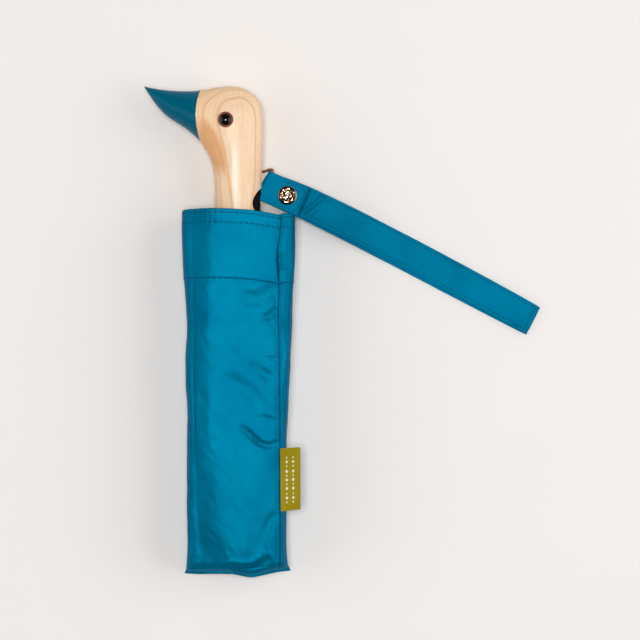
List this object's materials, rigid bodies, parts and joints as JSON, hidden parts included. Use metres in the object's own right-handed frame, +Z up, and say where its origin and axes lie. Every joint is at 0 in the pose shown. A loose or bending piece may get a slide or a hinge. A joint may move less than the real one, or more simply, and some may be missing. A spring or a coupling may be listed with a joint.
{
  "type": "folding umbrella",
  "caption": "Compact telescoping umbrella with a carved duck-head handle, closed in its fabric sleeve, with a wrist strap that closes with a press snap.",
  "frame": {"origin": "middle of the flat face under the sleeve, straight under the shaft's axis", "axes": "+Y along the shaft towards the handle, -X towards the beak's side, +Z up"},
  "size_m": [0.2576, 0.3177, 0.046],
  "materials": {
    "wood": "satin oiled",
    "beak_lacquer": "gloss lacquer",
    "eye_brown": "gloss",
    "black_gloss": "gloss",
    "black_plastic": "fine matte",
    "copper_wire": "polished",
    "steel": "drawn",
    "chrome": "bright",
    "nickel": "bright nickel",
    "canopy_cloth": "fine plain weave",
    "sleeve_cloth": "fine plain weave, slight sheen",
    "strap_cloth": "fine plain weave",
    "label_cloth": "woven ribbon"
  },
  "bodies": {
    "umbrella": {"outer_tube": "chrome", "outer_bush": "black_plastic", "main_spring": "steel", "runner": "black_plastic", "runner_wire": "steel", "crown": "black_plastic", "crown_wire": "steel", "crown_pin": "steel", "top_cap": "black_plastic", "inner_ribs": "steel", "stretchers": "steel", "middle_ribs": "steel", "outer_ribs": "steel", "control_wires": "steel", "rib_rivets": "nickel", "rib_tips": "black_plastic", "canopy": "canopy_cloth", "tie_band": "canopy_cloth", "tie_snap": "nickel"},
    "cover": {"sleeve": "sleeve_cloth", "label": "label_cloth"},
    "handle": {"duck_head": "wood", "beak": "beak_lacquer", "eye_irises": "eye_brown", "eye_pupils": "black_gloss", "button_housing": "black_plastic", "button_spring": "steel", "strap_staple": "copper_wire", "tip_cup": "black_plastic", "handle_pin": "steel", "inner_tube": "chrome", "inner_collar": "black_plastic", "strap_root": "strap_cloth"},
    "mid_shaft": {"middle_tube": "chrome", "middle_collar": "black_plastic", "middle_bush": "black_plastic"},
    "push_button": {"button": "black_plastic"},
    "strap": {"strap_band": "strap_cloth", "snap_stud": "nickel", "snap_post": "nickel"},
    "tab": {"strap_tab": "strap_cloth", "snap_cap": "nickel", "snap_socket": "nickel"}
  },
  "joints": [
    {"name": "sleeve_pull", "type": "slide", "parent": "umbrella", "child": "cover", "axis": [0, -1, 0], "range_m": [0, 0.25]},
    {"name": "shaft_extend", "type": "slide", "parent": "umbrella", "child": "handle", "axis": [0, 1, 0], "range_m": [0, 0.28], "deforming": ["main_spring"]},
    {"name": "middle_tube_slide", "type": "slide", "parent": "umbrella", "child": "mid_shaft", "axis": [0, 1, 0], "range_m": [0, 0.14]},
    {"name": "button_press", "type": "slide", "parent": "handle", "child": "push_button", "axis": [-1, 0, 0], "range_m": [0, 0.0022], "stiffness_N_per_m": 300, "deforming": ["button_spring"]},
    {"name": "strap_swing", "type": "hinge", "parent": "handle", "child": "strap", "pos_m": [0.02392, 0.13212, 0.0249], "axis": [-0.3972, -0.9178, 0], "range_deg": [0, 55]},
    {"name": "tab_open", "type": "hinge", "parent": "strap", "child": "tab", "pos_m": [0.02392, 0.13212, 0.0249], "axis": [-0.3972, -0.9178, 0], "range_deg": [0, 75]}
  ],
  "couplings": [
    {"joint": "middle_tube_slide", "follows": "shaft_extend", "ratio": 0.5}
  ]
}
